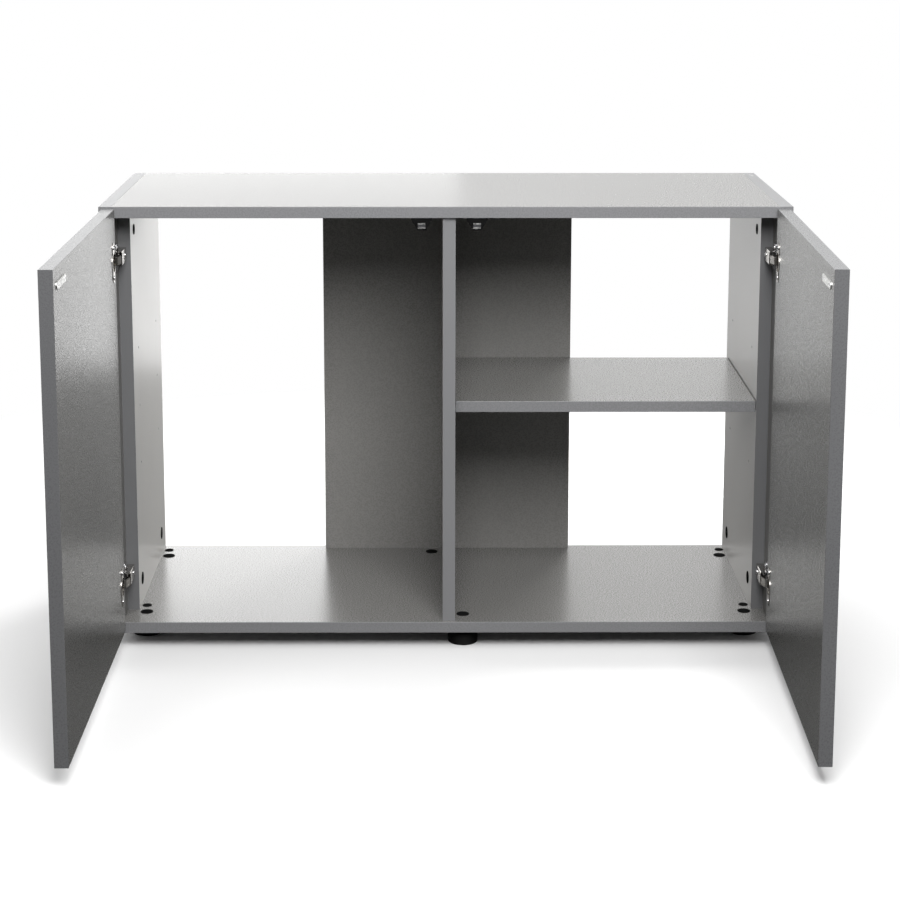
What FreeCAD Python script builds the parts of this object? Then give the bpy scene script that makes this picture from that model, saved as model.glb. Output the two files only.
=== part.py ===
"""Aquarium stand cabinet with two hinged doors, an open back and one loose shelf.

The carcass stands with its front towards -Y. Both doors are built closed and then swung open to the
angle at which the cabinet is stored. Lengths are in millimetres.
"""
import FreeCAD
import Part
import math
import os

from FreeCAD import Vector

# ---- driving dimensions -------------------------------------------------------------------------
WIDTH = 1200.0
DEPTH = 450.0
HEIGHT = 800.0
UPRIGHT = 22.0            # thickness of the side boards, the divider and the doors
LEVEL = 20.0              # thickness of the top, the base and the shelf
BACK = 16.0               # thickness of the back panel
FOOT_HEIGHT = 30.0

INNER_SIDE_FRONT = 70.0   # the inner side boards start this far behind the carcass front
DIVIDER_FRONT = 7.0
CENTRE_SHIFT = 5.5        # divider, back panel and catches sit this far right of the middle
BACK_WIDTH = 482.0

PIN_RADIUS = 2.5
PIN_ROWS = (139.0, 381.0)              # shelf pin columns, behind the carcass front
PIN_LEVELS = (308.5, 415.5, 522.5)     # shelf pin heights above the floor
PIN_DEPTH = 10.0
SHELF_LEVEL = 1                        # the shelf lies on the pins at this index of PIN_LEVELS
SHELF_PLAY = 1.5                       # gap at each end of the shelf
SHELF_BACK = 432.0
SHELF_LIFT = 0.2          # the shelf's underside lies this far above the pins

DOOR_WIDTH = 598.0
DOOR_BOTTOM = 35.5
DOOR_TOP = 797.0
CLOSED_GAP = 2.5          # carcass front to door, closed
CLOSED_INSET = 1.0        # carcass side to the door's hinge edge, closed
OPEN_GAP = 5.0            # carcass front to the door's hinge edge, at ninety degrees
OPEN_INSET = 28.5         # carcass side to the door's inner face, at ninety degrees
LEFT_OPENING = 90.0       # angle at which each door is stored
RIGHT_OPENING = 88.5
WIDEST_OPENING = 100.0

HINGE_HEIGHTS = (125.5, 707.0)
CUP_EDGE = 21.5           # cup centre to the door's hinge edge
CUP_RADIUS = 17.5
CUP_DEPTH = 11.5
CUP_WALL = 1.2
CUP_SCREW_PITCH = 52.0
CUP_SCREW_OFFSET = 4.5    # cup screws sit this far beyond the cup's centre
CUP_PIVOT_EDGE = 9.5      # pivot in the cup: from the door's hinge edge
CUP_PIVOT_DEPTH = 4.3     # and below the door's inner face
ARM_PIVOT_STANDOFF = 9.0  # pivot on the arm: from the side board's face
HINGE_PIN_RADIUS = 1.5
RUNNING_CLEARANCE = 0.05
ARM_HALF_WIDTH = 12.0
ARM_SHEET = 1.5
LINK_HALF_WIDTH = 7.0
PLATE_SCREW_Y = 37.0
PLATE_SCREW_PITCH = 32.0

STRIKE_LENGTH = 77.0
STRIKE_HEIGHT = 12.0
STRIKE_THICKNESS = 1.5
STRIKE_FREE_EDGE = 24.0   # strike plate to the door's free edge
STRIKE_Z = 768.5

CATCH_OFFSET = 48.0       # catch centre to the divider's centre
CATCH_TOP_WIDTH = 36.0
CATCH_BOTTOM_WIDTH = 18.0
CATCH_BODY_HEIGHT = 21.0
CATCH_BODY_DEPTH = 38.0
CATCH_FRONT = 1.0
POLE_FRONT = -0.6
POLE_WIDTH = 13.0
POLE_THICKNESS = 2.4
POLE_HEIGHTS = (762.8, 770.2)

FOOT_RADIUS = 26.75
FOOT_SOCKET_RADIUS = 23.0
FOOT_SOCKET_HEIGHT = 8.0
SPINDLE_RADIUS = 5.0
CORNER_FEET = {"foot_front_left": (-545.5, 92.5), "foot_front_right": (545.5, 92.5),
               "foot_back_left": (-545.5, 420.5), "foot_back_right": (545.5, 420.5)}
MIDDLE_FEET = {"foot_front_middle": (31.0, 43.0), "foot_back_middle": (-25.0, 410.0)}
CAM_PLACES = [(x, y) for x in (-541.5, 541.5) for y in (57.5, 384.5)]
CAM_RADIUS = 10.0
CAM_DEPTH = 14.0
SMALL_CAP_RADIUS = 8.5
LARGE_CAP_RADIUS = 11.5
CAP_THICKNESS = 1.0
SIDE_CAP_ROWS = (114.0, 390.0)
SIDE_CAP_LEVELS = ((95.0, 11.5), (743.0, 9.5))    # height above the floor, cap radius

DOWEL_RADIUS = 4.0
DOWEL_LENGTH = 30.0

# ---- derived dimensions -------------------------------------------------------------------------
HALF = WIDTH / 2
SIDE_FACE = HALF - UPRIGHT             # inner face of the outer side boards
INNER_FACE = SIDE_FACE - UPRIGHT       # inner face of the inner side boards
BASE_TOP = FOOT_HEIGHT + LEVEL
TOP_UNDERSIDE = HEIGHT - LEVEL
BACK_FACE = DEPTH - BACK               # front face of the back panel
DIVIDER_LEFT = CENTRE_SHIFT - UPRIGHT / 2
DIVIDER_RIGHT = CENTRE_SHIFT + UPRIGHT / 2
SHELF_BOTTOM = PIN_LEVELS[SHELF_LEVEL] + PIN_RADIUS + SHELF_LIFT
ALL_FEET = {**CORNER_FEET, **MIDDLE_FEET}
FRONT_SHIFT = (DOOR_WIDTH + OPEN_GAP - DEPTH) / 2    # puts the row origin under the box's centre

AXIS_X = Vector(1, 0, 0)
AXIS_Y = Vector(0, 1, 0)
AXIS_Z = Vector(0, 0, 1)


# ---- plain shapes -------------------------------------------------------------------------------
def box(x0, x1, y0, y1, z0, z1):
    return Part.makeBox(x1 - x0, y1 - y0, z1 - z0, Vector(x0, y0, z0))


def rod(start, direction, radius, length):
    return Part.makeCylinder(radius, length, start, direction)


def fused(shapes):
    whole = shapes[0]
    for shape in shapes[1:]:
        whole = whole.fuse(shape)
    return whole.removeSplitter()


def without(shape, tools):
    for tool in tools:
        shape = shape.cut(tool)
    return shape


def mirrored(shapes):
    return [shape.mirror(Vector(0, 0, 0), AXIS_X) for shape in shapes]


def eased(shape, radius):
    """Rounds every long straight edge of a plain board."""
    shortest = min(shape.BoundBox.XLength, shape.BoundBox.YLength, shape.BoundBox.ZLength)
    edges = [edge for edge in shape.Edges if edge.Length > shortest + 1.0]
    return shape.makeFillet(radius, edges)


def wood_screw(head, direction, length, radius, head_radius):
    """A pan-head screw whose head rests at the point head and whose shank runs along direction."""
    shank = rod(head, direction, radius, length - radius)
    tip = Part.makeCone(radius, 0.3, radius, head + direction * (length - radius), direction)
    cap = rod(head, direction * -1, head_radius, 1.0)
    crown = Part.makeCone(head_radius, head_radius * 0.7, 0.8, head - direction, direction * -1)
    recess = box(-0.5, 0.5, -head_radius * 0.6, head_radius * 0.6, -1, 1)
    cross = recess.fuse(recess.rotated(Vector(0, 0, 0), AXIS_Z, 90))
    turn = FreeCAD.Rotation(AXIS_Z, direction)
    cross.Placement = FreeCAD.Placement(head - direction * 1.8, turn)
    return fused([shank, tip, cap, crown]).cut(cross)


# ---- hinge linkage ------------------------------------------------------------------------------
# Plan view of the left door. The link turns about the arm pivot and the door turns about the cup
# pivot, so the closed and the ninety degree places of the door fix where the arm pivot lies.
closed_corner = Vector(-HALF + CLOSED_INSET, -CLOSED_GAP, 0)
open_corner = Vector(-HALF + OPEN_INSET, -OPEN_GAP, 0)
cup_pivot = closed_corner + Vector(CUP_PIVOT_EDGE, -CUP_PIVOT_DEPTH, 0)
cup_pivot_open = open_corner + Vector(-CUP_PIVOT_DEPTH, -CUP_PIVOT_EDGE, 0)
chord = cup_pivot_open - cup_pivot
chord_middle = (cup_pivot_open + cup_pivot) * 0.5
arm_pivot_x = -SIDE_FACE + ARM_PIVOT_STANDOFF
arm_pivot_y = chord_middle.y - (arm_pivot_x - chord_middle.x) * chord.x / chord.y
arm_pivot = Vector(arm_pivot_x, arm_pivot_y, 0)
link_length = (cup_pivot - arm_pivot).Length


def heading(vector):
    return math.degrees(math.atan2(vector.y, vector.x)) % 360


closed_heading = heading(cup_pivot - arm_pivot)
link_per_door = (heading(cup_pivot_open - arm_pivot) - closed_heading) / 90.0


def link_opened(shape, opening):
    return shape.rotated(arm_pivot, AXIS_Z, link_per_door * opening)


def cup_pivot_at(opening):
    turn = FreeCAD.Rotation(AXIS_Z, link_per_door * opening)
    return arm_pivot + turn.multVec(cup_pivot - arm_pivot)


def door_opened(shape, opening):
    swung = shape.rotated(cup_pivot, AXIS_Z, -opening)
    return swung.translated(cup_pivot_at(opening) - cup_pivot)


# ---- hinge pieces, built for the closed left door -----------------------------------------------
def at_door(edge, depth, z):
    """A point given from the closed left door's hinge edge, its inner face and the floor."""
    return closed_corner + Vector(edge, -depth, z)


def hinge_cup(z):
    """Pressed steel cup let into the door, with a winged flange and two lugs for its pivot pin."""
    inward = AXIS_Y * -1
    shell = rod(at_door(CUP_EDGE, 0, z), inward, CUP_RADIUS, CUP_DEPTH)
    wing_edge = CUP_EDGE + CUP_SCREW_OFFSET
    flange_parts = [rod(at_door(CUP_EDGE, -1.2, z), inward, CUP_RADIUS + 1.5, 1.2)]
    for side in (-1, 1):
        wing_end = at_door(wing_edge, -1.2, z + side * CUP_SCREW_PITCH / 2)
        flange_parts.append(rod(wing_end, inward, 8.5, 1.2))
    low = at_door(wing_edge - 8.5, 0, z - CUP_SCREW_PITCH / 2)
    flange_parts.append(box(low.x, low.x + 17, low.y, low.y + 1.2, low.z, low.z + CUP_SCREW_PITCH))
    cup = fused([shell] + flange_parts)
    hollow = rod(at_door(CUP_EDGE, -2, z), inward, CUP_RADIUS - CUP_WALL, CUP_DEPTH - CUP_WALL + 2)
    slot = at_door(0, 0, z)
    link_slot = box(slot.x, slot.x + 9, slot.y, slot.y + 2, z - 9.5, z + 9.5)
    cup = cup.cut(hollow).cut(link_slot)
    pivot = cup_pivot + Vector(0, 0, z)
    for side in (-1, 1):
        z0 = z + side * 9.2 - 1.2
        foot = cup_pivot.y - (CUP_DEPTH - CUP_PIVOT_DEPTH)
        lug = box(cup_pivot.x - 2.6, cup_pivot.x + 2.6, foot, cup_pivot.y, z0, z0 + 2.4)
        round_end = rod(Vector(cup_pivot.x, cup_pivot.y, z0), AXIS_Z, 2.6, 2.4)
        inside = rod(at_door(CUP_EDGE, 0, z), inward, CUP_RADIUS - CUP_WALL / 2, CUP_DEPTH)
        cup = cup.fuse(lug.fuse(round_end).common(inside))
    cup = cup.removeSplitter()
    return without(cup, [rod(pivot - AXIS_Z * 11.5, AXIS_Z, HINGE_PIN_RADIUS, 23)] + cup_screws(z))


def cup_pin(z):
    return rod(cup_pivot + Vector(0, 0, z - 10.4), AXIS_Z, HINGE_PIN_RADIUS, 20.8)


def hinge_link(z):
    """Goose-neck link. It arches over the side board's corner and over the rim of the cup."""
    half_sheet = 0.9
    line = [(0, 0), (2.8, 4.8), (7.5, 7.2), (link_length - 4.6, 7.2), (link_length - 1.4, 5.6),
            (link_length, 0)]
    along = (cup_pivot - arm_pivot).normalize()
    outward = Vector(-along.y, along.x, 0)
    if outward.x < 0:
        outward = outward * -1
    points = [arm_pivot + along * x + outward * y + Vector(0, 0, z - LINK_HALF_WIDTH) for x, y in line]
    width = LINK_HALF_WIDTH * 2
    pieces = []
    for start, end in zip(points, points[1:]):
        run = end - start
        strip = Part.makeBox(run.Length, half_sheet * 2, width, Vector(0, -half_sheet, 0))
        strip.Placement = FreeCAD.Placement(start, FreeCAD.Rotation(AXIS_Z, heading(run)))
        pieces.append(strip)
        pieces.append(rod(end, AXIS_Z, half_sheet, width))
    pieces.append(rod(points[0], AXIS_Z, 3.0, width))
    pieces.append(rod(points[-1], AXIS_Z, 2.4, width))
    link = fused(pieces)
    hole = HINGE_PIN_RADIUS + RUNNING_CLEARANCE
    return without(link, [rod(point, AXIS_Z, hole, width) for point in (points[0], points[-1])])


def arm_pin(z):
    return rod(arm_pivot + Vector(0, 0, z - ARM_HALF_WIDTH), AXIS_Z, HINGE_PIN_RADIUS, 2 * ARM_HALF_WIDTH)


def arm_screw(z):
    web = arm_pivot.x + 4.5 + ARM_SHEET
    return wood_screw(Vector(web, 52.0, z), AXIS_X * -1, 9.0, 2.5, 4.0)


def hinge_arm(z):
    """Channel-shaped arm with two ears that hold the arm pivot pin."""
    front = arm_pivot.y
    web_x = arm_pivot.x + 4.5
    outer = box(-SIDE_FACE + 3.2, web_x + ARM_SHEET, front, 64.0, z - ARM_HALF_WIDTH, z + ARM_HALF_WIDTH)
    ear = rod(arm_pivot + Vector(0, 0, z - ARM_HALF_WIDTH), AXIS_Z, 4.2, 2 * ARM_HALF_WIDTH)
    outer = outer.fuse(ear).removeSplitter()
    long_edges = [edge for edge in outer.Edges
                  if edge.BoundBox.YLength > 40 and edge.BoundBox.XMin > web_x]
    outer = outer.makeFillet(1.2, long_edges)
    inner_half = ARM_HALF_WIDTH - ARM_SHEET
    channel = box(-SIDE_FACE, web_x, front - 10, 64.0 - ARM_SHEET, z - inner_half, z + inner_half)
    mouth = box(-SIDE_FACE, web_x + 10, front - 10, front + 4.4, z - inner_half, z + inner_half)
    return without(outer, [channel, mouth, arm_pin(z), arm_screw(z)])


def plate_screws(z):
    screws = []
    for side in (-1, 1):
        head = Vector(-SIDE_FACE + 3.0, PLATE_SCREW_Y, z + side * PLATE_SCREW_PITCH / 2)
        screws.append(wood_screw(head, AXIS_X * -1, 16.0, 2.0, 3.6))
    return screws


def mounting_plate(z):
    """Cross-shaped plate screwed to the outer side board, with a ridge that the arm clamps on."""
    face = -SIDE_FACE
    stem = box(face, face + 3, 20, 62, z - 8, z + 8)
    wing = box(face, face + 3, PLATE_SCREW_Y - 6.5, PLATE_SCREW_Y + 6.5, z - 18, z + 18)
    tips = [rod(Vector(face, PLATE_SCREW_Y, z + side * 18), AXIS_X, 6.5, 3) for side in (-1, 1)]
    ridge = box(face, face + 8.5, 24, 60, z - 9.5, z + 9.5)
    plate = fused([stem, wing, ridge] + tips)
    return without(plate, plate_screws(z) + [arm_screw(z)])


def cup_screws(z):
    screws = []
    for side in (-1, 1):
        head = at_door(CUP_EDGE + CUP_SCREW_OFFSET, -1.2, z + side * CUP_SCREW_PITCH / 2)
        screws.append(wood_screw(head, AXIS_Y * -1, 15.0, 1.8, 3.4))
    return screws


# ---- doors --------------------------------------------------------------------------------------
def strike_plate():
    """Flat steel plate with round ends that the magnet pulls on."""
    far = DOOR_WIDTH - STRIKE_FREE_EDGE - STRIKE_HEIGHT / 2
    near = far - STRIKE_LENGTH + STRIKE_HEIGHT
    low = at_door(near, 0, STRIKE_Z - STRIKE_HEIGHT / 2)
    bar = box(low.x, low.x + far - near, low.y, low.y + STRIKE_THICKNESS, low.z, low.z + STRIKE_HEIGHT)
    ends = [rod(at_door(edge, 0, STRIKE_Z), AXIS_Y, STRIKE_HEIGHT / 2, STRIKE_THICKNESS)
            for edge in (near, far)]
    return without(fused([bar] + ends), [strike_screw(face) for face in strike_screw_faces()])


def strike_screw_faces():
    """Centres of the two screw heads, flush with the plate."""
    return [at_door(DOOR_WIDTH - from_free_edge, -STRIKE_THICKNESS, STRIKE_Z)
            for from_free_edge in (STRIKE_FREE_EDGE + 9.0, STRIKE_FREE_EDGE + STRIKE_LENGTH - 9.0)]


def strike_screw(face):
    """A countersunk screw, before its drive recess is cut."""
    head = Part.makeCone(3.2, 1.6, 1.4, face, AXIS_Y * -1)
    return head.fuse(rod(face, AXIS_Y * -1, 1.6, 13.0)).removeSplitter()


def strike_screws():
    cross = fused([box(-2, 2, 0, 0.8, -0.4, 0.4), box(-0.4, 0.4, 0, 0.8, -2, 2)])
    return [strike_screw(face).cut(cross.translated(face - AXIS_Y * 0.8)) for face in strike_screw_faces()]


def door_board():
    low = at_door(0, UPRIGHT, DOOR_BOTTOM)
    board = box(low.x, low.x + DOOR_WIDTH, low.y, low.y + UPRIGHT, DOOR_BOTTOM, DOOR_TOP)
    board = eased(board, 0.8)
    pockets = [rod(at_door(CUP_EDGE, 0, z), AXIS_Y * -1, CUP_RADIUS, CUP_DEPTH) for z in HINGE_HEIGHTS]
    screws = strike_screws()
    for z in HINGE_HEIGHTS:
        screws += cup_screws(z)
    return without(board, pockets + screws)


def door_set():
    """Every piece of one door and its hinges, closed, keyed by its name without the side."""
    pieces = {"door": [door_board()], "strike_plate": [strike_plate()], "strike_screws": strike_screws()}
    pieces["hinge_cup_screws"] = [screw for z in HINGE_HEIGHTS for screw in cup_screws(z)]
    pieces["hinge_cup_pins"] = [cup_pin(z) for z in HINGE_HEIGHTS]
    for place, z in zip(("lower", "upper"), HINGE_HEIGHTS):
        pieces[place + "_hinge_cup"] = [hinge_cup(z)]
    return pieces


def link_set():
    return {place + "_hinge_link": [hinge_link(z)] for place, z in zip(("lower", "upper"), HINGE_HEIGHTS)}


def arm_set():
    """Hinge arms and their plates, which stay on the carcass."""
    pieces = {}
    for place, z in zip(("lower", "upper"), HINGE_HEIGHTS):
        pieces[place + "_hinge_arm"] = [hinge_arm(z)]
        pieces[place + "_mounting_plate"] = [mounting_plate(z)]
    return pieces


# ---- fasteners and caps of the carcass ----------------------------------------------------------
def dowels(z_joint):
    """Dowels that stand half in an upright board and half in the top or the base."""
    places = []
    for x in (-INNER_FACE - UPRIGHT / 2, INNER_FACE + UPRIGHT / 2):
        places += [(x, 180.0), (x, 340.0)]
    places += [(CENTRE_SHIFT, 120.0), (CENTRE_SHIFT, 330.0)]
    places += [(CENTRE_SHIFT + shift, DEPTH - BACK / 2) for shift in (-200.0, 60.0, 200.0)]
    into_level = 12.0
    start = z_joint - DOWEL_LENGTH + into_level if z_joint > HEIGHT / 2 else z_joint - into_level
    return [rod(Vector(x, y, start), AXIS_Z, DOWEL_RADIUS, DOWEL_LENGTH) for x, y in places]


def side_screws():
    """Screws that hold the left inner side board to the outer one, sunk below their caps."""
    screws = []
    for y in SIDE_CAP_ROWS:
        for z, _ in SIDE_CAP_LEVELS:
            head = Vector(-INNER_FACE - 8.0, y, z)
            screws.append(wood_screw(head, AXIS_X * -1, 28.0, 2.5, 5.0))
    return screws


def side_recesses():
    return [rod(Vector(-INNER_FACE - 8.0, y, z), AXIS_X, radius - 2.0, 9.0)
            for y in SIDE_CAP_ROWS for z, radius in SIDE_CAP_LEVELS]


def cap(centre, outward, radius, plug_radius):
    """A press-in cover cap: a thin crowned disc on a short hollow plug."""
    disc = rod(centre, outward, radius, CAP_THICKNESS)
    rim = [edge for edge in disc.Edges if (edge.CenterOfMass - centre).Length > CAP_THICKNESS / 2]
    disc = disc.makeFillet(CAP_THICKNESS * 0.6, rim[:1])
    plug = rod(centre - outward * 3.0, outward, plug_radius, 3.0)
    bore = rod(centre - outward * 3.0, outward, plug_radius - 1.2, 2.6)
    return disc.fuse(plug).removeSplitter().cut(bore)


def side_caps():
    return [cap(Vector(-INNER_FACE, y, z), AXIS_X, radius, radius - 2.0)
            for y in SIDE_CAP_ROWS for z, radius in SIDE_CAP_LEVELS]


def base_cams():
    """Round cams let into the base, each gripping a bolt in the outer side board."""
    cams = []
    for x, y in CAM_PLACES:
        disc = rod(Vector(x, y, BASE_TOP - 3.2 - CAM_DEPTH + 3.2), AXIS_Z, CAM_RADIUS, CAM_DEPTH - 3.2)
        drive = box(x - 4, x + 4, y - 0.8, y + 0.8, BASE_TOP - 5.2, BASE_TOP)
        cross = drive.rotated(Vector(x, y, 0), AXIS_Z, 90)
        cams.append(without(disc, [drive, cross] + cam_bolts()))
    return cams


def cam_bolts():
    bolts = []
    for x, y in CAM_PLACES:
        side = math.copysign(1, x)
        start = Vector(x + side * 2.0, y, BASE_TOP - 10.0)
        length = SIDE_FACE + 11.0 - abs(start.x)
        bolts.append(rod(start, AXIS_X * side, 3.0, length))
    return bolts


def foot(x, y):
    """Levelling foot: a broad pad with a spindle that reaches up through the base to its cap."""
    centre = Vector(x, y, 0)
    pad = rod(centre, AXIS_Z, FOOT_RADIUS, FOOT_HEIGHT - FOOT_SOCKET_HEIGHT - 0.5)
    pad = pad.makeFillet(1.5, [edge for edge in pad.Edges if edge.Curve.TypeId == "Part::GeomCircle"])
    spindle = rod(centre, AXIS_Z, SPINDLE_RADIUS, BASE_TOP - 6.0)
    slot = box(x - 4, x + 4, y - 0.8, y + 0.8, BASE_TOP - 8.5, BASE_TOP)
    return pad.fuse(spindle).removeSplitter().cut(slot)


def foot_sockets():
    """Flanged nuts under the base that the spindles turn in."""
    bore = SPINDLE_RADIUS + RUNNING_CLEARANCE
    sockets = []
    for x, y in ALL_FEET.values():
        low = Vector(x, y, FOOT_HEIGHT - FOOT_SOCKET_HEIGHT)
        flange = rod(low + AXIS_Z * (FOOT_SOCKET_HEIGHT - 3), AXIS_Z, FOOT_SOCKET_RADIUS, 3)
        neck = rod(low, AXIS_Z, 11.0, FOOT_SOCKET_HEIGHT)
        sockets.append(fused([flange, neck]).cut(rod(low, AXIS_Z, bore, FOOT_SOCKET_HEIGHT)))
    return sockets


def spindle_holes():
    return [rod(Vector(x, y, FOOT_HEIGHT), AXIS_Z, SPINDLE_RADIUS + 1.5, LEVEL)
            for x, y in ALL_FEET.values()]


def cam_pockets():
    return [rod(Vector(x, y, BASE_TOP - CAM_DEPTH), AXIS_Z, CAM_RADIUS, CAM_DEPTH) for x, y in CAM_PLACES]


def base_caps_small():
    return [cap(Vector(x, y, BASE_TOP), AXIS_Z, SMALL_CAP_RADIUS, SPINDLE_RADIUS + 1.5)
            for x, y in CORNER_FEET.values()]


def base_caps_large():
    over_feet = [cap(Vector(x, y, BASE_TOP), AXIS_Z, LARGE_CAP_RADIUS, SPINDLE_RADIUS + 1.5)
                 for x, y in MIDDLE_FEET.values()]
    over_cams = [cap(Vector(x, y, BASE_TOP), AXIS_Z, LARGE_CAP_RADIUS, CAM_RADIUS) for x, y in CAM_PLACES]
    return over_feet + over_cams


def pin_holes(x, direction):
    return [rod(Vector(x, y, z), direction, PIN_RADIUS, PIN_DEPTH) for y in PIN_ROWS for z in PIN_LEVELS]


def shelf_pins():
    """Steel pins with a thin collar: two in the divider and two in the right inner side board."""
    pins = []
    z = PIN_LEVELS[SHELF_LEVEL]
    for y in PIN_ROWS:
        for x, outward in ((DIVIDER_RIGHT, AXIS_X), (INNER_FACE, AXIS_X * -1)):
            root = Vector(x, y, z)
            shank = rod(root - outward * PIN_DEPTH, outward, PIN_RADIUS, PIN_DEPTH + 9.0)
            collar = rod(root, outward, 4.5, 1.0)
            pins.append(shank.fuse(collar).removeSplitter())
    return pins


# ---- carcass boards -----------------------------------------------------------------------------
def carcass_boards():
    plate_holes = [screw for z in HINGE_HEIGHTS for screw in plate_screws(z)]
    left_outer = box(-HALF, -SIDE_FACE, 0, DEPTH, FOOT_HEIGHT, HEIGHT)
    left_outer = without(eased(left_outer, 0.8), side_screws() + plate_holes)
    left_inner = box(-SIDE_FACE, -INNER_FACE, INNER_SIDE_FRONT, DEPTH, BASE_TOP, TOP_UNDERSIDE)
    left_inner = without(left_inner, pin_holes(-INNER_FACE, AXIS_X * -1) + side_screws() + side_recesses())
    joints = dowels(BASE_TOP) + dowels(TOP_UNDERSIDE)
    divider = box(DIVIDER_LEFT, DIVIDER_RIGHT, DIVIDER_FRONT, BACK_FACE, BASE_TOP, TOP_UNDERSIDE)
    divider_holes = pin_holes(DIVIDER_LEFT, AXIS_X) + pin_holes(DIVIDER_RIGHT, AXIS_X * -1)
    back_left = CENTRE_SHIFT - BACK_WIDTH / 2
    back = box(back_left, back_left + BACK_WIDTH, BACK_FACE, DEPTH, BASE_TOP, TOP_UNDERSIDE)
    top = eased(box(-SIDE_FACE, SIDE_FACE, 0, DEPTH, TOP_UNDERSIDE, HEIGHT), 0.8)
    base = eased(box(-SIDE_FACE, SIDE_FACE, 0, DEPTH, FOOT_HEIGHT, BASE_TOP), 0.8)
    base = without(base, spindle_holes() + cam_pockets() + cam_bolts())
    right_outer, right_inner = mirrored([left_outer, left_inner])
    return {
        "outer_side_left": [left_outer.cut(Part.makeCompound(cam_bolts()))],
        "outer_side_right": [right_outer.cut(Part.makeCompound(cam_bolts()))],
        "inner_side_left": [without(left_inner, joints)],
        "inner_side_right": [without(right_inner, joints)],
        "divider": [without(divider, divider_holes + joints)],
        "back_panel": [without(back, joints)],
        "top_panel": [without(top, joints + catch_screws())],
        "base_panel": [without(base, joints)],
    }


def shelf_board():
    left = DIVIDER_RIGHT + SHELF_PLAY
    right = INNER_FACE - SHELF_PLAY
    board = box(left, right, INNER_SIDE_FRONT, SHELF_BACK, SHELF_BOTTOM, SHELF_BOTTOM + LEVEL)
    return eased(board, 0.8)


# ---- magnetic catches ---------------------------------------------------------------------------
CATCH_CENTRES = (CENTRE_SHIFT - CATCH_OFFSET, CENTRE_SHIFT + CATCH_OFFSET)


def catch_poles(x):
    return [box(x - POLE_WIDTH / 2, x + POLE_WIDTH / 2, POLE_FRONT, 14.0,
                z - POLE_THICKNESS / 2, z + POLE_THICKNESS / 2) for z in POLE_HEIGHTS]


def catch_magnet(x):
    low = POLE_HEIGHTS[0] + POLE_THICKNESS / 2
    high = POLE_HEIGHTS[1] - POLE_THICKNESS / 2
    return box(x - POLE_WIDTH / 2, x + POLE_WIDTH / 2, POLE_FRONT + 1.2, 14.0, low, high)


def catch_screws():
    """Screws that hold both catches up against the top panel."""
    screws = []
    for x in CATCH_CENTRES:
        for side in (-1, 1):
            head = Vector(x + side * 12.5, 28.0, TOP_UNDERSIDE - 4.0)
            screws.append(wood_screw(head, AXIS_Z, 14.0, 1.8, 3.2))
    return screws


def catch_housing(x):
    """Moulded housing, wide where it meets the top panel and narrow at the magnet."""
    top_half = CATCH_TOP_WIDTH / 2
    low_half = CATCH_BOTTOM_WIDTH / 2
    low = TOP_UNDERSIDE - CATCH_BODY_HEIGHT
    outline = [(-top_half, TOP_UNDERSIDE), (top_half, TOP_UNDERSIDE), (top_half, TOP_UNDERSIDE - 3.5),
               (low_half + 1.0, low + 5.0), (low_half - 1.5, low), (1.5 - low_half, low),
               (-low_half - 1.0, low + 5.0), (-top_half, TOP_UNDERSIDE - 3.5)]
    points = [Vector(x + dx, CATCH_FRONT, z) for dx, z in outline]
    face = Part.Face(Part.makePolygon(points + points[:1]))
    body = face.extrude(AXIS_Y * CATCH_BODY_DEPTH)
    wells = [rod(Vector(screw_x, 28.0, low - 1), AXIS_Z, 4.0, CATCH_BODY_HEIGHT - 4.0 + 1.0)
             for screw_x in (x - 12.5, x + 12.5)]
    return without(body, catch_poles(x) + [catch_magnet(x)] + wells + catch_screws())


# ---- the whole cabinet --------------------------------------------------------------------------
def swung(pieces, place, opening):
    return {name: [place(shape, opening) for shape in shapes] for name, shapes in pieces.items()}


def sided(pieces, side):
    if side == "right":
        pieces = {name: mirrored(shapes) for name, shapes in pieces.items()}
    return {side + "_" + name: shapes for name, shapes in pieces.items()}


def all_nodes():
    nodes = carcass_boards()
    nodes["shelf"] = [shelf_board()]
    nodes["shelf_pins"] = shelf_pins()
    nodes["dowels"] = dowels(BASE_TOP) + dowels(TOP_UNDERSIDE)
    nodes["side_screws"] = side_screws() + mirrored(side_screws())
    nodes["side_caps"] = side_caps() + mirrored(side_caps())
    nodes["base_cams"] = base_cams()
    nodes["base_cam_bolts"] = cam_bolts()
    nodes["base_caps_small"] = base_caps_small()
    nodes["base_caps_large"] = base_caps_large()
    nodes["foot_sockets"] = foot_sockets()
    for name, (x, y) in ALL_FEET.items():
        nodes[name] = [foot(x, y)]
    both_sides = {"hinge_arm_pins": [arm_pin(z) for z in HINGE_HEIGHTS],
                  "hinge_arm_screws": [arm_screw(z) for z in HINGE_HEIGHTS],
                  "mounting_plate_screws": [screw for z in HINGE_HEIGHTS for screw in plate_screws(z)]}
    for name, shapes in both_sides.items():
        nodes[name] = shapes + mirrored(shapes)
    nodes["catch_screws"] = catch_screws()
    nodes["catch_magnets"] = [catch_magnet(x) for x in CATCH_CENTRES]
    nodes["catch_poles"] = [pole for x in CATCH_CENTRES for pole in catch_poles(x)]
    for side, x in zip(("left", "right"), CATCH_CENTRES):
        nodes[side + "_catch_housing"] = [catch_housing(x)]
    for side, opening in (("left", LEFT_OPENING), ("right", RIGHT_OPENING)):
        nodes.update(sided(arm_set(), side))
        nodes.update(sided(swung(link_set(), link_opened, opening), side))
        nodes.update(sided(swung(door_set(), door_opened, opening), side))
    return nodes


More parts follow.
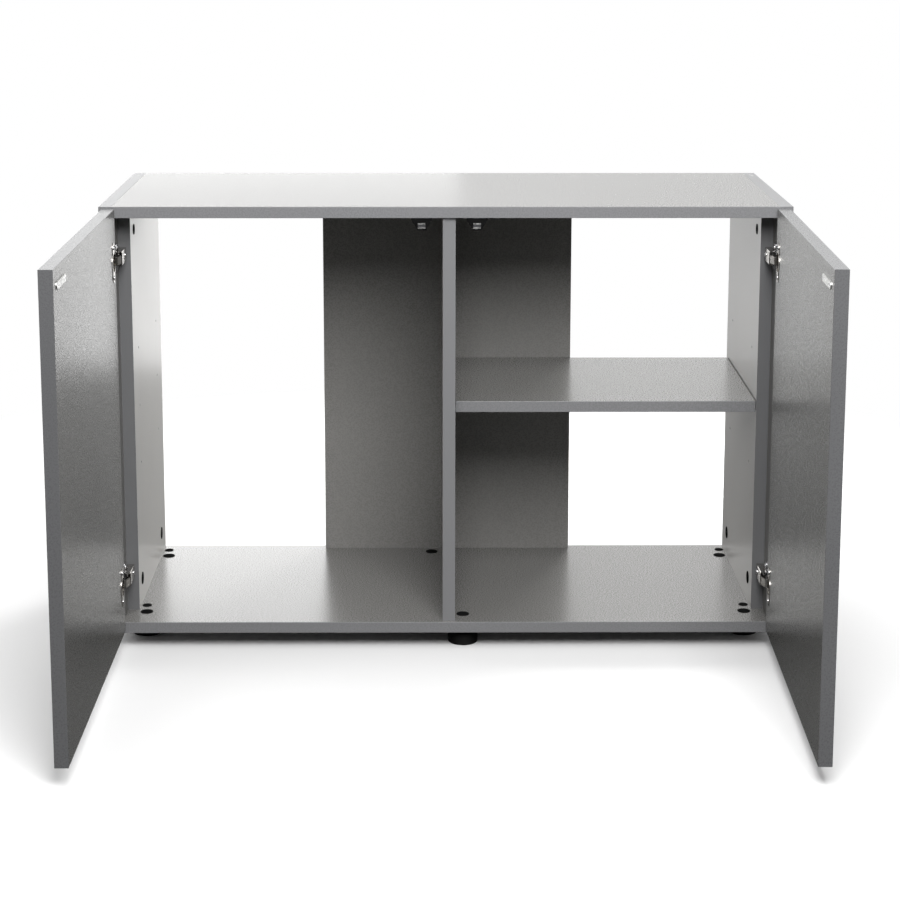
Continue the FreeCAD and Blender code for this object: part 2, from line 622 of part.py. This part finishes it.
def joint_facts():
    """Pivot places at rest and travel of each door, in the row's frame, for the behaviour block."""
    for side, sign, opening in (("left", 1, LEFT_OPENING), ("right", -1, RIGHT_OPENING)):
        for name, point in (("arm pivot", arm_pivot), ("cup pivot", cup_pivot_at(opening))):
            print(side, name, round(sign * point.x, 4), round(point.y + FRONT_SHIFT, 4))
        relative = 1 + link_per_door
        closing = -relative * opening
        further = relative * (WIDEST_OPENING - opening)
        print(side, "door on link, degrees", round(closing, 3), round(further, 3))
        print(side, "link on arm, ratio", round(-link_per_door / relative, 6))


def main():
    os.makedirs("parts", exist_ok=True)
    shift = Vector(0, FRONT_SHIFT, 0)
    for name, shapes in all_nodes().items():
        placed = [shape.translated(shift) for shape in shapes]
        whole = placed[0] if len(placed) == 1 else Part.makeCompound(placed)
        whole.exportStep("parts/" + name + ".step")
    joint_facts()


main()
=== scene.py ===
"""Looks for the aquarium stand cabinet: laminated boards, hinge metal, black fittings and a studio."""

import math

import bpy
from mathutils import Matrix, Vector


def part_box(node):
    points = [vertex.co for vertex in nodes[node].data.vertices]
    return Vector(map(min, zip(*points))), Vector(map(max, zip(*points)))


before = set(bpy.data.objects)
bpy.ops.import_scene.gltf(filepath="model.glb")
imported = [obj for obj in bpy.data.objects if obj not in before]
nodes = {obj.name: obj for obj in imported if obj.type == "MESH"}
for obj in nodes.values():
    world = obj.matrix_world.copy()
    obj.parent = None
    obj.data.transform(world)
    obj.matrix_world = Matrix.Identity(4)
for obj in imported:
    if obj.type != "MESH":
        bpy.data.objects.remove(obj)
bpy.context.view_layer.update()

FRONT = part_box("outer_side_left")[0].y    # front plane of the carcass, without the open doors

# ---- camera: a little left of the middle, above the top, looking down --------------------------------
CAMERA_AT = Vector((-0.0278, FRONT - 3.573, 1.3250))
FOCAL = 83.71                         # mm
SENSOR = 36.0                         # mm
SEES_TO = 60.0                        # metres
SHIFT = (0.0091, -0.20)
PITCH = -0.1761                       # radians
ROLL = -0.0005
YAW = -0.0056


def make_camera():
    data = bpy.data.cameras.new("camera")
    data.sensor_width = SENSOR
    data.lens = FOCAL
    data.shift_x, data.shift_y = SHIFT
    data.clip_end = SEES_TO
    camera = bpy.data.objects.new("camera", data)
    bpy.context.scene.collection.objects.link(camera)
    camera.location = CAMERA_AT
    camera.rotation_euler = (math.pi / 2 + PITCH, ROLL, YAW)
    bpy.context.scene.camera = camera


# ---- node helpers ---------------------------------------------------------------------------------
class Shader:
    """A small builder for one material's node tree."""

    def __init__(self, name):
        self.material = bpy.data.materials.new(name)
        self.material.use_nodes = True
        self.tree = self.material.node_tree
        self.bsdf = self.tree.nodes["Principled BSDF"]
        coordinates = self.node("ShaderNodeTexCoord")
        self.place = coordinates.outputs["Object"]
        self.facing = coordinates.outputs["Normal"]

    def node(self, kind, **settings):
        made = self.tree.nodes.new(kind)
        for key, value in settings.items():
            setattr(made, key, value)
        return made

    def link(self, source, target):
        self.tree.links.new(source, target)

    def feed(self, target, value):
        if isinstance(value, bpy.types.NodeSocket):
            self.link(value, target)
        else:
            target.default_value = value

    def math(self, operation, first, second=0.0):
        made = self.node("ShaderNodeMath", operation=operation)
        self.feed(made.inputs[0], first)
        self.feed(made.inputs[1], second)
        return made.outputs[0]

    def noise(self, scale, detail=2.0, roughness=0.5, stretch=None):
        place = self.place
        if stretch:
            mapping = self.node("ShaderNodeMapping")
            self.link(place, mapping.inputs["Vector"])
            mapping.inputs["Scale"].default_value = stretch
            place = mapping.outputs[0]
        made = self.node("ShaderNodeTexNoise")
        self.link(place, made.inputs["Vector"])
        made.inputs["Scale"].default_value = scale
        made.inputs["Detail"].default_value = detail
        made.inputs["Roughness"].default_value = roughness
        return made.outputs["Fac"]

    def mix(self, factor, first, second):
        made = self.node("ShaderNodeMix", data_type="RGBA")
        self.feed(made.inputs["Factor"], factor)
        for socket, value in ((made.inputs["A"], first), (made.inputs["B"], second)):
            self.feed(socket, value if isinstance(value, bpy.types.NodeSocket) else (*value, 1.0))
        return made.outputs["Result"]

    def range(self, value, low, high, to_low=0.0, to_high=1.0):
        made = self.node("ShaderNodeMapRange")
        self.feed(made.inputs["Value"], value)
        made.inputs["From Min"].default_value = low
        made.inputs["From Max"].default_value = high
        made.inputs["To Min"].default_value = to_low
        made.inputs["To Max"].default_value = to_high
        return made.outputs[0]

    def bump(self, height, distance):
        made = self.node("ShaderNodeBump")
        made.inputs["Distance"].default_value = distance
        self.link(height, made.inputs["Height"])
        self.link(made.outputs[0], self.bsdf.inputs["Normal"])


# ---- materials ------------------------------------------------------------------------------------
FACE_GREY = (0.205, 0.201, 0.193)       # back panel
EDGE_GREY = (0.205, 0.206, 0.212)
UPRIGHT_FACE = (0.175, 0.172, 0.165)    # outer sides and divider
PAINTED_LIGHT_INNER_FACE = (0.375, 0.368, 0.353)      # inner sides: a lighter copy of the grey laminate, painted light from the backdrop behind
PAINTED_SHADE_RECESS_EDGE = (0.145, 0.146, 0.150)     # their front edges, set back beside the hinges, darkened as painted shade from the open doors and the top
LEVEL_FACE = (0.155, 0.152, 0.146)      # top, base and shelf
DOOR_FACE = (0.145, 0.143, 0.138)
DOOR_EDGE = (0.120, 0.121, 0.125)
BLACK = (0.006, 0.006, 0.006)

ACROSS, DEEP, UPWARD = (1, 0, 0), (0, 1, 0), (0, 0, 1)    # which way a board is thin

FINE_GRAIN = 900.0                      # noise scales, per metre
CLOUDING = 9.0
FINE_SHARE = 0.35                       # of the fine grain in the relief
RELIEF = 0.00006                        # metres, for a grain of 1
METAL_RELIEF = 0.00002
PLASTIC_RELIEF = 0.00003
WOOD_RELIEF = 0.0001


def laminate(name, thin_axis, face=FACE_GREY, edge=EDGE_GREY, roughness=0.27, grain=0.6,
             speckle=0.06, speck_scale=420.0, specular=0.5):
    """Pearl-grained melamine on the board's faces and plain edging on its narrow sides."""
    shader = Shader(name)
    axis = shader.node("ShaderNodeVectorMath", operation="DOT_PRODUCT")
    shader.link(shader.facing, axis.inputs[0])
    axis.inputs[1].default_value = thin_axis
    on_face = shader.range(shader.math("ABSOLUTE", axis.outputs["Value"]), 0.80, 0.97)
    fine = shader.noise(FINE_GRAIN, 3.0, 0.6)
    pearl = shader.noise(speck_scale, 2.0, 0.55)
    clouds = shader.noise(CLOUDING, 3.0, 0.5)
    specks = shader.math("MULTIPLY", shader.range(pearl, 0.3, 0.7, -speckle, speckle), on_face)
    shade = shader.math("ADD", specks, shader.range(clouds, 0.3, 0.7, 0.99, 1.01))
    tint = shader.mix(on_face, edge, face)
    tinted = shader.node("ShaderNodeVectorMath", operation="SCALE")
    shader.link(tint, tinted.inputs[0])
    shader.link(shade, tinted.inputs["Scale"])
    shader.link(tinted.outputs[0], shader.bsdf.inputs["Base Color"])
    rough = shader.range(pearl, 0.3, 0.7, roughness - 0.04, roughness + 0.05)
    shader.link(rough, shader.bsdf.inputs["Roughness"])
    shader.bsdf.inputs["Specular IOR Level"].default_value = specular
    height = shader.math("ADD", pearl, shader.math("MULTIPLY", fine, FINE_SHARE))
    shader.bump(shader.math("MULTIPLY", height, on_face), RELIEF * grain)
    return shader.material


def metal(name, colour, roughness, brushed=None):
    shader = Shader(name)
    wear = shader.noise(260.0, 4.0, 0.6, brushed)
    cloud = shader.noise(60.0, 2.0)
    dark = tuple(0.82 * c for c in colour)
    shader.link(shader.mix(shader.range(cloud, 0.35, 0.7), colour, dark), shader.bsdf.inputs["Base Color"])
    shader.bsdf.inputs["Metallic"].default_value = 1.0
    rough = shader.range(wear, 0.3, 0.7, roughness * 0.7, roughness * 1.4)
    shader.link(rough, shader.bsdf.inputs["Roughness"])
    shader.bump(wear, METAL_RELIEF)
    return shader.material


def plastic(name, colour, roughness, specular=0.15):
    shader = Shader(name)
    grain = shader.noise(1500.0, 2.0)
    cloud = shader.noise(40.0, 2.0)
    shader.bsdf.inputs["Specular IOR Level"].default_value = specular
    light = tuple(min(1.0, 1.3 * c + 0.002) for c in colour)
    shader.link(shader.mix(shader.range(cloud, 0.35, 0.7), colour, light), shader.bsdf.inputs["Base Color"])
    rough = shader.range(grain, 0.3, 0.7, roughness - 0.05, roughness + 0.08)
    shader.link(rough, shader.bsdf.inputs["Roughness"])
    shader.bump(grain, PLASTIC_RELIEF)
    return shader.material


def beech():
    shader = Shader("beech")
    rings = shader.noise(40.0, 5.0, 0.6, (6.0, 6.0, 1.0))
    shader.link(shader.mix(rings, (0.62, 0.44, 0.27), (0.50, 0.33, 0.19)), shader.bsdf.inputs["Base Color"])
    shader.bsdf.inputs["Roughness"].default_value = 0.7
    shader.bump(rings, WOOD_RELIEF)
    return shader.material


def paint(names, material):
    for name in names:
        mesh = nodes[name].data
        mesh.materials.clear()
        mesh.materials.append(material)


def named(*endings):
    return [name for name in nodes if name.endswith(endings)]


def finish_nodes():
    smooth = {"roughness": 0.33, "grain": 0.12}
    boards = [
        (["outer_side_left", "outer_side_right", "divider"],
         laminate("laminate_upright", ACROSS, UPRIGHT_FACE, **smooth)),
        # inner sides: painted light on their faces and painted shade on their set-back front edges
        (["inner_side_left", "inner_side_right"],
         laminate("laminate_inner_lit_and_shaded", ACROSS, PAINTED_LIGHT_INNER_FACE, PAINTED_SHADE_RECESS_EDGE, **smooth)),
        (["left_door", "right_door"],
         laminate("laminate_door", ACROSS, DOOR_FACE, DOOR_EDGE, roughness=0.28, grain=2.0,
                  speckle=0.14, speck_scale=430.0, specular=0.40)),
        (["top_panel", "base_panel", "shelf"],
         laminate("laminate_level", UPWARD, LEVEL_FACE, specular=0.43)),
        (["back_panel"], laminate("laminate_rear", DEEP)),
    ]
    fittings = [
        (named("_caps", "caps_small", "caps_large", "_housing"),
         plastic("cap_black", BLACK, 0.7, specular=0.0)),
        ([name for name in nodes if name.startswith("foot_")], plastic("black_plastic", BLACK, 0.62)),
        (["catch_magnets"], plastic("magnet", (0.045, 0.045, 0.048), 0.5)),
        (named("hinge_cup", "hinge_arm", "hinge_link"), metal("nickel", (0.52, 0.50, 0.47), 0.20)),
        (named("strike_plate", "catch_poles"), metal("steel_plate", (0.74, 0.74, 0.72), 0.30)),
        (named("_screws", "_pins", "_cams", "_bolts", "mounting_plate"),
         metal("zinc", (0.60, 0.60, 0.61), 0.26, brushed=(1.0, 1.0, 5.0))),
        (["dowels"], beech()),
    ]
    for names, material in boards + fittings:
        paint(names, material)


# ---- studio ---------------------------------------------------------------------------------------
FLOOR_SIZE = 40.0
FLOOR_PALE = ((0.82, 0.82, 0.82), (0.84, 0.84, 0.84))
FLOOR_FADE = (1.3, 2.1)                # distance over which the floor turns into the white surroundings
FLOOR_IN_REFLECTIONS = (0.06, 0.06, 0.06)    # its colour in mirrored and bounced light


def make_floor():
    mesh = bpy.data.meshes.new("floor")
    half = FLOOR_SIZE / 2
    corners = [(-half, -half, 0), (half, -half, 0), (half, half, 0), (-half, half, 0)]
    mesh.from_pydata(corners, [], [(0, 1, 2, 3)])
    floor = bpy.data.objects.new("floor", mesh)
    bpy.context.scene.collection.objects.link(floor)
    shader = Shader("floor")
    cloud = shader.noise(0.8, 2.0)
    seen = shader.node("ShaderNodeLightPath").outputs["Is Camera Ray"]
    pale = shader.mix(cloud, *FLOOR_PALE)
    shader.link(shader.mix(seen, FLOOR_IN_REFLECTIONS, pale), shader.bsdf.inputs["Base Color"])
    shader.bsdf.inputs["Roughness"].default_value = 0.6
    distance = shader.node("ShaderNodeVectorMath", operation="LENGTH")
    shader.link(shader.place, distance.inputs[0])
    fade = shader.range(distance.outputs["Value"], *FLOOR_FADE)
    glow = shader.node("ShaderNodeEmission")
    blend = shader.node("ShaderNodeMixShader")
    shader.link(shader.math("MULTIPLY", fade, seen), blend.inputs[0])
    shader.link(shader.bsdf.outputs[0], blend.inputs[1])
    shader.link(glow.outputs[0], blend.inputs[2])
    shader.link(blend.outputs[0], shader.tree.nodes["Material Output"].inputs["Surface"])
    mesh.materials.append(shader.material)


def area_light(name, place, aim, size, power, mirrored=True):
    data = bpy.data.lights.new(name, "AREA")
    data.shape = "RECTANGLE"
    data.size, data.size_y = size
    data.energy = power
    light = bpy.data.objects.new(name, data)
    bpy.context.scene.collection.objects.link(light)
    light.location = place
    light.rotation_euler = (Vector(aim) - Vector(place)).to_track_quat("-Z", "Y").to_euler()
    light.visible_camera = False
    light.visible_glossy = mirrored


# Strength of the surroundings' light from each side
FROM_FRONT = 0.15
FROM_BACK = 1.50
FROM_ABOVE = 0.35
LEFT_TILT = 0.42                      # share added at the far left and taken off at the far right

BACKDROP_SIZE = (2.0, 1.0)
BACKDROP_PLACE = (2.2, 0.52)          # behind the carcass front, and above the floor


def make_world():
    """White to the eye, while its light is strongest behind and to the left, as from a lit backdrop."""
    world = bpy.data.worlds.new("studio")
    bpy.context.scene.world = world
    world.use_nodes = True
    tree = world.node_tree
    background = tree.nodes["Background"]
    background.inputs["Color"].default_value = (1.0, 1.0, 1.0, 1.0)

    def link(source, target):
        tree.links.new(source, target)

    def ramp(value, low, high, to_low, to_high):
        made = tree.nodes.new("ShaderNodeMapRange")
        made.interpolation_type = "SMOOTHSTEP"
        link(value, made.inputs["Value"])
        for key, number in (("From Min", low), ("From Max", high), ("To Min", to_low), ("To Max", to_high)):
            made.inputs[key].default_value = number
        return made.outputs[0]

    def blend(factor, first, second):
        made = tree.nodes.new("ShaderNodeMix")
        link(factor, made.inputs[0])
        for socket, value in ((made.inputs[2], first), (made.inputs[3], second)):
            if isinstance(value, float):
                socket.default_value = value
            else:
                link(value, socket)
        return made.outputs[0]

    direction = tree.nodes.new("ShaderNodeTexCoord").outputs["Generated"]
    parts = tree.nodes.new("ShaderNodeSeparateXYZ")
    link(direction, parts.inputs[0])
    around = ramp(parts.outputs["Y"], 0.10, 0.90, FROM_FRONT, FROM_BACK)
    strength = blend(ramp(parts.outputs["Z"], 0.25, 0.95, 0.0, 1.0), around, FROM_ABOVE)
    tilt = ramp(parts.outputs["X"], -0.8, 0.8, 1.0 + LEFT_TILT, 1.0 - LEFT_TILT)
    tilted = tree.nodes.new("ShaderNodeMath")
    tilted.operation = "MULTIPLY"
    link(strength, tilted.inputs[0])
    link(tilt, tilted.inputs[1])
    seen = tree.nodes.new("ShaderNodeLightPath").outputs["Is Camera Ray"]
    link(blend(seen, tilted.outputs[0], 1.0), background.inputs["Strength"])


def make_studio():
    make_floor()
    make_world()
    middle = Vector((0.0, FRONT, 0.5))
    area_light("front_softbox", (0.30, FRONT - 2.1, 2.2), middle, (1.4, 1.4), power=98.0)
    area_light("top_softbox", (-0.5, FRONT - 0.3, 3.2), middle, (2.6, 2.0), power=30.0)
    area_light("rear_softbox", (0.6, FRONT + 2.0, 0.9), (-0.55, FRONT + 0.25, 0.35), (0.6, 0.6),
               power=42.0, mirrored=False)
    for name, x in (("left_softbox", -3.0), ("right_softbox", 3.0)):
        area_light(name, (x, FRONT, 0.35), (0.0, FRONT, 0.35), (0.7, 0.6), power=11.0, mirrored=False)
    behind, above = BACKDROP_PLACE
    for name, x, radiance in (("backdrop_left", -0.95, 2.4), ("backdrop_right", 1.05, 0.28)):
        place = Vector((x, FRONT + behind, above))
        power = radiance * math.pi * BACKDROP_SIZE[0] * BACKDROP_SIZE[1]
        area_light(name, place, place - Vector((0.0, 1.0, 0.0)), BACKDROP_SIZE, power)


make_camera()
finish_nodes()
make_studio()
bpy.context.scene.view_settings.view_transform = "Standard"
